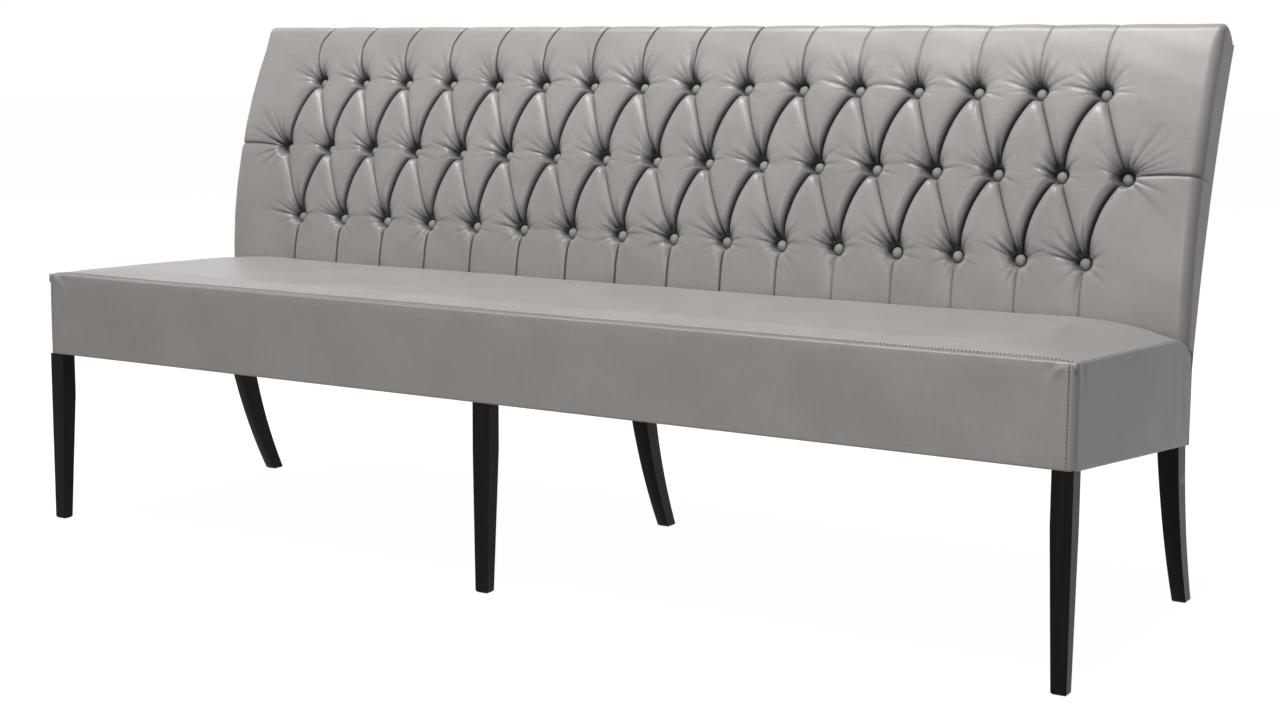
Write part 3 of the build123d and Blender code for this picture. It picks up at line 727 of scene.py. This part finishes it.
def tufted_surface(stations):
    """Points, lay and painted shade of the cover's front, top and ends."""
    x, v = front_grid(stations)
    depth, painted_shade = back_relief(x, v)
    y, z = on_back(*section(v, depth))
    radius = edge_radius(stations)[:, None]
    left, left_lay = end_block(-1, v[:, :1], depth[:, :1], radius)
    right, right_lay = end_block(1, v[:, -1:], depth[:, -1:], radius)
    points = np.concatenate([left[:, ::-1], np.stack([x, y, z], -1), right], 1)
    lay = np.concatenate([left_lay[:, ::-1], np.stack([x, v], -1), right_lay], 1)
    to_rear = np.linspace(0, 1, end_columns + 1)[1:]
    side_fade = np.concatenate([np.ones(edge_columns), (1 - to_rear) ** 2])
    # The painted shade fades out round the side edges and towards the rear
    painted_shade = np.hstack([painted_shade[:, :1] * side_fade[::-1], painted_shade, painted_shade[:, -1:] * side_fade])
    # Below the side seam the cover is tucked in between the side bands
    tucked = points[..., 2] < side_seam(points[..., 1]) + clearance
    limit = core - clearance
    points[..., 0] = np.where(tucked, np.clip(points[..., 0], -limit, limit), points[..., 0])
    return points, lay, painted_shade


def lining(points, stations):
    """Rows that close the cover behind: under its top, then down the back of the padding."""
    flange, lining_top = half_length - cover_thickness, rear_along - 7.0
    ids = np.searchsorted(stations, [stations[-1], top_start, row_spacing, 0.0, -row_spacing, bottom_along])
    y, z = on_back(np.minimum(stations[ids], lining_top), -pad_base)
    y[0], z[0] = rear_arc_to(lining_top, skin)
    rows = points[ids]
    inside = np.abs(rows[..., :1]) < flange
    rows[..., 1:] = np.where(inside, np.stack([y, z], -1)[:, None], rows[..., 1:])
    rows[..., 0] = np.clip(rows[..., 0], -flange, flange)
    return rows


def make_back():
    stations = back_stations()
    points, lay, painted_shade = tufted_surface(stations)
    closing = lining(points, stations)
    count = len(closing)
    points = np.concatenate([points, closing])
    lay, painted_shade = np.concatenate([lay, lay[:count]]), np.concatenate([painted_shade, painted_shade[:count]])
    ids = numbers_of(points)
    # Where the two pleats at the sides of a cell meet, its columns close up to one
    first = end_columns + edge_columns + panel_columns
    for k in range(2 * diamonds - 1):
        start = first + k * cell_columns
        if k % 2 == 0:
            shut = np.concatenate([np.abs(stations) >= row_spacing - 1e-6, np.ones(count, bool)])
        else:
            shut = np.concatenate([stations == 0.0, np.zeros(count, bool)])
        ids[shut, start:start + cell_columns + 1] = ids[shut, start][:, None]
    piece = make_piece("tufted_back", points, quads_of(ids, wrap=True), lay, "cover", painted_shade=painted_shade)
    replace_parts(piece, "tufted_back_pad")


# Buttons: radius and height of the dome's outline, from its middle to under its rim
dome_outline = ((0.02, 8.0), (2.5, 7.85), (5.0, 7.3), (7.0, 6.3), (8.6, 4.8), (9.5, 3.1), (9.72, 1.8),
                (9.5, 0.7), (8.6, 0.05), (4.0, 0.05))
dome_sides = 40
rim_gathers = 10


def make_buttons():
    """Cloth-covered domes, gathered a little at the rim."""
    turn = np.arange(dome_sides) * 2 * pi / dome_sides
    for name, (along, xs) in zip(("top", "middle", "bottom"), button_rows):
        points, lay, faces = [], [], []
        lean = back_lean + along / back_radius
        out, up = np.array([0, -cos(lean), sin(lean)]), np.array([0, sin(lean), cos(lean)])
        y, z = on_back(along, 0.0)
        for x in xs:
            spin = chance.uniform(0, 2 * pi)
            base = len(points) * dome_sides
            for r, h in dome_outline:
                reach = r - np.abs(0.1 * np.cos(rim_gathers * (turn + spin)) * smooth(r, 5.0, 9.0))
                ring = np.array([x, y, z]) + np.outer(reach * np.cos(turn), [1, 0, 0])
                points.append(ring + np.outer(reach * np.sin(turn), up) + out * h)
                lay.append(np.stack([x * 3 + r * np.cos(turn + spin), r * np.sin(turn + spin)], -1))
            faces += closed_rings(base, len(dome_outline), dome_sides)
        points, lay = np.concatenate(points), np.concatenate(lay)
        piece = make_piece(name + "_buttons", points, faces, lay, "button_cover")
        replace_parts(piece, name + "_row_buttons")


# Seat cushion: shares of the crown's rise and run, at shares of the seat's depth from its front
crown_shares = np.array((
    (0.0, 0.08, 0.6), (0.03, 0.5, 0.8), (0.1, 0.92, 1.0), (0.27, 1.38, 1.1), (0.55, 1.78, 1.3),
    (0.82, 1.88, 1.5), (1.0, 1.88, 1.6),
))
unswollen_share = 0.86
soft_rear = 10.0
front_roll = 11.0
front_groove = 13.0
stitch_lines = (10.8, 15.2)


def seat_height(x, y, share=1.0):
    """Height of the crowned seat, with its edges rolled down to the seams and to the back."""
    places, rises, runs = crown_shares.T
    depth = (y - skin) / (seat_rear - skin)
    rise = np.interp(depth, places, rises) * crown_height * share
    run = np.interp(depth, places, runs) * crown_run
    edge, top = side_seam(y), seam(y) + rise
    inside = np.clip((np.abs(x) - (core - run)) / run, 0, 1)
    radius = (run ** 2 + (top - edge) ** 2) / (2 * (top - edge))
    height = top - (radius - np.sqrt(radius ** 2 - (inside * run) ** 2))
    roll = 1 - np.clip((y - skin) / front_roll, 0, 1)
    rolled = seam(y) + 0.6 + (0.5 * crown_height + 2 * (1 - roll)) * np.sqrt(1 - roll ** 2)
    height = np.where(roll > 0, np.minimum(height, rolled), height)
    tuck = np.clip((y - (seat_rear - soft_rear)) / soft_rear, 0, 1)
    return height - soft_rear * (1 - np.sqrt(1 - tuck ** 2))


def swell(x, y):
    """Displacement of the seat cover by its padding, from a cloth simulation of a coarse copy."""
    columns, rows, last_frame, most_travel, least = 150, 44, 20, 6.0, 1e-6
    xs, ys = np.meshgrid(np.linspace(-core, core, columns + 1), np.linspace(skin, seat_rear, rows + 1))
    top = np.stack([xs, ys, seat_height(xs, ys, unswollen_share)], -1)
    points, faces = closed_slab(top, np.stack([xs, ys, seam(ys) - topper_edge], -1))
    points = points * MM
    mesh = bpy.data.meshes.new("seat_trial")
    mesh.from_pydata(points.tolist(), [], faces)
    trial = add_object("seat_trial", mesh)
    ids = numbers_of(top)
    under = ids + ids.size
    pinned = np.unique(np.concatenate([ids[0], ids[-1], ids[:, 0], ids[:, -1], under.ravel()]))
    trial.vertex_groups.new(name="pins").add(pinned.tolist(), 1.0, "REPLACE")
    cloth = trial.modifiers.new("cloth", "CLOTH").settings
    cloth.quality = 4
    cloth.mass = 0.4
    cloth.tension_stiffness = 12
    cloth.compression_stiffness = 12
    cloth.bending_stiffness = 0.6
    cloth.use_pressure = True
    cloth.uniform_pressure_force = 4.0
    cloth.effector_weights.gravity = 0.0
    cloth.vertex_group_mass = "pins"
    scene = bpy.context.scene
    for step in range(1, last_frame + 1):
        scene.frame_set(step)
    graph = bpy.context.evaluated_depsgraph_get()
    moved = np.zeros(points.size)
    trial.evaluated_get(graph).data.vertices.foreach_get("co", moved)
    scene.frame_set(1)
    bpy.data.objects.remove(trial)
    shift = (moved.reshape(-1, 3) - points)[:ids.size].reshape(*ids.shape, 3) / MM
    size = np.linalg.norm(shift, axis=-1, keepdims=True)
    shift = shift * np.minimum(1, most_travel / np.maximum(size, least))
    # Each point takes its share of the four coarse points round it
    column = np.clip((x + core) / (2 * core) * columns, 0, columns - least)
    row = np.clip((y - skin) / (seat_rear - skin) * rows, 0, rows - least)
    c, r = column.astype(int), row.astype(int)
    past_c, past_r = (column - c)[..., None], (row - r)[..., None]
    low_row = shift[r, c] * (1 - past_c) + shift[r, c + 1] * past_c
    high_row = shift[r + 1, c] * (1 - past_c) + shift[r + 1, c + 1] * past_c
    return low_row * (1 - past_r) + high_row * past_r


def seat_surface():
    """Points and lay of the seat's top, with its slack, its ridges along the side seams and its stitches."""
    x, y = np.meshgrid(spread(-core, core, 300, 0.75), spread(skin, seat_rear, 120, 0.8))
    from_side, highest_swell = core - np.abs(x), 3.0
    points = np.stack([x, y, seat_height(x, y, unswollen_share)], -1) + swell(x, y)
    points[..., 0] = np.clip(points[..., 0], -core, core)
    points[..., 1] = np.clip(points[..., 1], skin, seat_rear)
    height = np.minimum(points[..., 2], seat_height(x, y) + highest_swell)
    height += 0.35 * ripples(x, y, 420.0, 120.0, 8, 5) * smooth(from_side, 0, 40)
    height += 0.25 * ripples(x * 0.25, y, 60.0, 25.0, 6, 8) * smooth(y, seat_rear - 160, seat_rear)
    height += 2.0 * bell(from_side, 2.6, 2.0) * smooth(y, 4, 14)
    height -= 1.2 * bell(y, front_groove, 1.2)
    for line in stitch_lines:
        height -= 0.6 * bell(y, line, 1.6)
    points[..., 2] = height
    return points, np.stack([x, y], -1)


def make_seat():
    points, lay = seat_surface()
    skirt = points.copy()
    skirt[..., 2] = seam(skirt[..., 1]) - topper_edge
    both, faces = closed_slab(points, skirt)
    y = both[:, 1]
    # Painted shade on the front roll and in its groove, darkening the light that the roll catches from the
    # lamps
    shade = 0.32 * (1 - smooth(y, 7, 15)) + 0.2 * bell(y, front_groove, 1.4)
    piece = make_piece("seat_cushion", both, faces, np.concatenate([lay, lay]), "cover", painted_shade=shade)
    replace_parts(piece, "seat_top_cover")
    return points


# Bands round the seat box
def pucker(x, y, z):
    """Small gathers of the cloth beside the top of each front corner seam."""
    from_corner, below = half_length - np.abs(x), side_seam(y) - z
    lifts = 2.2 * bell(from_corner, 24 + 0.5 * below, 7.0) * bell(below, 8, 13.0)
    dents = 1.8 * bell(from_corner, 40 + 0.3 * below, 7.0) * bell(below, 8, 16.0)
    side_dents = 1.8 * bell(y, 24 + 0.3 * below, 8.0) * bell(below, 6, 18.0)
    return smooth(below, 0, 9) * np.where(y < corner_radius, lifts - dents, -side_dents)


def band(name, path, lay_start):
    """Stretched cloth round the box: path holds (x, y, outward x, outward y) from one end to the other."""
    x, y, out_x, out_y = np.array(path, float).T
    run = lay_start + np.concatenate([[0], np.cumsum(np.hypot(np.diff(x), np.diff(y)))])
    outer_shares, inner_shares = spread(0, 1, 30, 0.5), (1.0, 0.5, 0.0)
    share = np.concatenate([outer_shares, inner_shares])[:, None]
    bottom, top = low(y), side_seam(y)
    z = bottom + (top - bottom) * share
    waves = 0.3 * ripples(run, z, 500.0, 140.0, 8, 21)
    waves += 0.35 * np.sin(pi * share) * smooth(y, 380, 520) * np.sin(y / 9.0 + 0.6 * np.sin(z / 60.0))
    to_end = np.minimum(run - run[0], run[-1] - run)
    tucks = 1.4 * np.exp(-(top - z) / 10.0) + 0.4 * bell(z, bottom, 1.2) + 0.8 * bell(to_end, 0, 1.0)
    off = np.maximum(waves - tucks + pucker(x, y, z), -0.8 * cover_thickness)
    off[len(outer_shares):] = -cover_thickness
    points = np.stack([x + out_x * off, y + out_y * off, z], -1)
    lay = np.stack([np.broadcast_to(run, z.shape), z], -1)
    piece = make_piece(name, points, closed_loop(points), lay, "cover")
    return piece


def make_bands():
    front_half, rear_end = half_length - corner_radius, box_depth - skin
    path = [(x, 0.0, 0.0, -1.0) for x in spread(-front_half, front_half, 260, 0.85)]
    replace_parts(band("front_band", path, -front_half), "seat_front_band")
    for name, side in (("left", -1), ("right", 1)):
        path = [(side * (front_half + corner_radius * sin(turn)), corner_radius * (1 - cos(turn)),
                 side * sin(turn), -cos(turn)) for turn in np.linspace(0, pi / 2, 13)]
        path += [(side * half_length, y, side, 0.0) for y in spread(corner_radius, rear_end, 110, 0.5)[1:]]
        if side < 0:
            path.reverse()
        piece = band(name + "_band", path, front_half if side > 0 else -front_half - rear_end)
        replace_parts(piece, "seat_" + name + "_band")


# Stitches
def make_stitches(seat_points):
    """Thread of the top stitching along the front seam, and of the two corner seams."""
    length, pitch, thick, sides, proud = 3.0, 6.0, 0.6, 6, 0.2
    outline = ((-0.5, 0.35), (-0.3, 1.0), (0.3, 1.0), (0.5, 0.35))
    turn = np.arange(sides) * 2 * pi / sides
    row_ys, row_xs = seat_points[:, 0, 1], seat_points[0, :, 0]
    stitches = []
    for line in stitch_lines:
        row = int(np.argmin(np.abs(row_ys - line)))
        for x in np.arange(-core + 8, core - 8, pitch):
            z = np.interp(x, row_xs, seat_points[row, :, 2])
            stitches.append(((x, row_ys[row], z + proud), (1, 0, 0), (0, -0.4, 0.9)))
    for side in (-1, 1):
        x = side * (half_length - corner_radius - 1.5)
        stitches += [((x, 0.2, z), (0, 0, 1), (0, -1, 0)) for z in np.arange(low(0) + 6, seam(0) - 4, pitch)]
    points, faces = [], []
    for place, along, out in stitches:
        along, out = np.array(along), np.array(out) / np.linalg.norm(out)
        ring = (np.outer(np.cos(turn), np.cross(along, out)) + np.outer(np.sin(turn), out)) * thick
        faces += closed_rings(len(points) * sides, len(outline), sides)
        points += [np.array(place) + along * share * length + ring * size for share, size in outline]
    make_piece("seam_stitches", np.concatenate(points), faces, None, "cover", thread)


# Outside back and dust cover
def make_outside_back():
    """Plain panel of cover cloth over the rear, folded under at its edges."""
    columns, curved_rows, straight_rows = 120, 70, 14
    xs = spread(-half_length, half_length, columns, 0.8)
    alongs = np.linspace(rear_along, bottom_along - 16.0, curved_rows)
    layers = []
    for inset in (0.0, cover_thickness):
        y, z = rear_arc_to(alongs, inset)
        curved = z > rear_turn_height + 2
        straight_y = np.full(straight_rows, box_depth - inset)
        straight_z = np.linspace(rear_turn_height, low(box_depth - inset), straight_rows)
        layers.append((np.concatenate([y[curved], straight_y]), np.concatenate([z[curved], straight_z])))
    (outer_y, outer_z), (inner_y, inner_z) = layers
    x, z = np.meshgrid(xs, outer_z)
    ends = np.minimum(half_length - np.abs(x), np.minimum(z - outer_z[-1], outer_z[0] - z))
    dent = 1.2 * bell(ends, 0, 1.5) + 0.5 * bell(ends, 9, 2.0)
    dent += 0.35 * (1 + ripples(x, z, 600.0, 150.0, 8, 31)) * smooth(ends, 0, 60)
    outer = np.stack([x, outer_y[:, None] - np.clip(dent, 0, 1.6), z], -1)
    inner = np.stack(np.broadcast_arrays(x, inner_y[:, None], inner_z[:, None]), -1)
    points = np.concatenate([outer, inner[::-1]])
    lay = np.stack([np.concatenate([x, x]), np.concatenate([z, z[::-1]])], -1)
    piece = make_piece("outside_back", points, closed_loop(points), lay, "cover", flip=True)
    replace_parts(piece, "outside_back_panel")


def make_dust_cover():
    """Black cloth under the seat, tacked along its edges and a little slack between them."""
    corner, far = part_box("dust_cover")
    xs = np.linspace(corner.x, far.x, 181) / MM
    ys = np.linspace(corner.y, far.y, 61) / MM - y_shift
    x, y = np.meshgrid(xs, ys)
    ends = np.minimum(np.minimum(x - xs[0], xs[-1] - x), np.minimum(y - ys[0], ys[-1] - y))
    slack = 2.5 * smooth(ends, 0, 120) + 0.5 * ripples(x, y, 300.0, 70.0, 8, 41) * smooth(ends, 5, 60)
    tack_pitch, thickness, below_box = 60.0, 0.6, 0.9
    pinches = 0.8 * np.cos(x * 2 * pi / tack_pitch) * np.exp(-ends / 12.0)
    under = low(y) - below_box - np.clip(slack + pinches, 0, None)
    points = np.concatenate([np.stack([x, y, under], -1), np.stack([x, y, under + thickness], -1)[::-1]])
    piece = make_piece("underside_cloth", points, closed_loop(points), None, "dust_cover_cloth", flip=True)
    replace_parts(piece, "dust_cover")


# Studio
def seen_ray(tree):
    """1 for a ray that the camera sees, straight or by way of gloss or glass, and 0 for all others."""
    path = tree.nodes.new("ShaderNodeLightPath")
    gloss = reckon(tree, "MAXIMUM", path.outputs["Is Glossy Ray"], path.outputs["Is Transmission Ray"])
    return reckon(tree, "MAXIMUM", path.outputs["Is Camera Ray"], gloss)


def floor_white():
    """Matte white that keeps a shadow but shows near white to the eye and in gloss."""
    seen_glow = 0.965
    material = bpy.data.materials.new("floor_white")
    material.use_nodes = True
    tree = material.node_tree
    tree.nodes.clear()
    out, matte, glow, both = (tree.nodes.new("ShaderNode" + kind) for kind in
                              ("OutputMaterial", "BsdfDiffuse", "Emission", "AddShader"))
    matte.inputs["Color"].default_value = (0.24, 0.225, 0.215, 1.0)
    link(reckon(tree, "MULTIPLY", seen_ray(tree), seen_glow), glow.inputs["Strength"])
    link(matte.outputs[0], both.inputs[0])
    link(glow.outputs[0], both.inputs[1])
    link(both.outputs[0], out.inputs["Surface"])
    return material


def make_floor():
    size = 30.0
    mesh = bpy.data.meshes.new("studio_floor")
    corners = [(-size, -size, 0), (size, -size, 0), (size, size, 0), (-size, size, 0)]
    mesh.from_pydata(corners, [], [(0, 1, 2, 3)])
    mesh.materials.append(floor_white())
    add_object("studio_floor", mesh)


def make_world():
    """White to the camera and in gloss, and a faint light on everything else."""
    level = 0.08
    world = bpy.data.worlds.new("studio")
    bpy.context.scene.world = world
    world.use_nodes = True
    tree = world.node_tree
    background = tree.nodes["Background"]
    background.inputs["Color"].default_value = (1.0, 1.0, 1.0, 1.0)
    strength = reckon(tree, "ADD", reckon(tree, "MULTIPLY", seen_ray(tree), 1.0 - level), level)
    link(strength, background.inputs["Strength"])


def lamp(name, place, target, size, power):
    light = bpy.data.lights.new(name, "AREA")
    light.shape = "RECTANGLE"
    light.size, light.size_y = size
    light.energy = power
    holder = add_object(name, light)
    holder.location = place
    holder.rotation_mode = "QUATERNION"
    holder.rotation_quaternion = (Vector(target) - Vector(place)).to_track_quat("-Z", "Y")


def make_lights():
    lamp("key", (-0.5, -1.3, 5.4), (-0.1, 0.0, 0.5), (4.0, 1.6), 236.0)
    lamp("overhead", (-0.3, -0.5, 4.2), (-0.1, 0.0, 0.4), (3.6, 1.0), 30.0)
    lamp("fill", (0.8, -3.5, 1.1), (0.6, 0.0, 0.5), (1.4, 1.0), 23.0)


def make_camera():
    """Camera at the photograph's place, from a fit of the bench's corners, buttons and feet."""
    yaw, pitch, roll = radians(32.0), radians(7.407), radians(0.302)
    frame_width, frame_height, focal = 1280.0, 720.0, 2026.9
    centre_x, centre_y = 644.3, 320.6
    ahead = Vector((-sin(yaw) * cos(pitch), cos(yaw) * cos(pitch), -sin(pitch)))
    level = Vector((cos(yaw), sin(yaw), 0.0))
    up = level.cross(ahead)
    right = level * cos(roll) + up * sin(roll)
    top = up * cos(roll) - level * sin(roll)
    data = bpy.data.cameras.new("photo_view")
    data.sensor_width = 36.0
    data.lens = focal / frame_width * data.sensor_width
    data.shift_x = (frame_width / 2 - centre_x) / frame_width
    data.shift_y = (centre_y - frame_height / 2) / frame_width
    camera = add_object("photo_view", data)
    place = Vector((2.0308, -2.7256 + y_shift * MM, 0.9137))
    camera.matrix_world = Matrix.Translation(place) @ Matrix((right, top, -ahead)).transposed().to_4x4()
    bpy.context.scene.camera = camera


dress_nodes()
make_back()
make_buttons()
make_stitches(make_seat())
make_bands()
make_outside_back()
make_dust_cover()
make_floor()
make_world()
make_lights()
make_camera()
bpy.context.scene.view_settings.view_transform = "Standard"

bpy.context.view_layer.update()
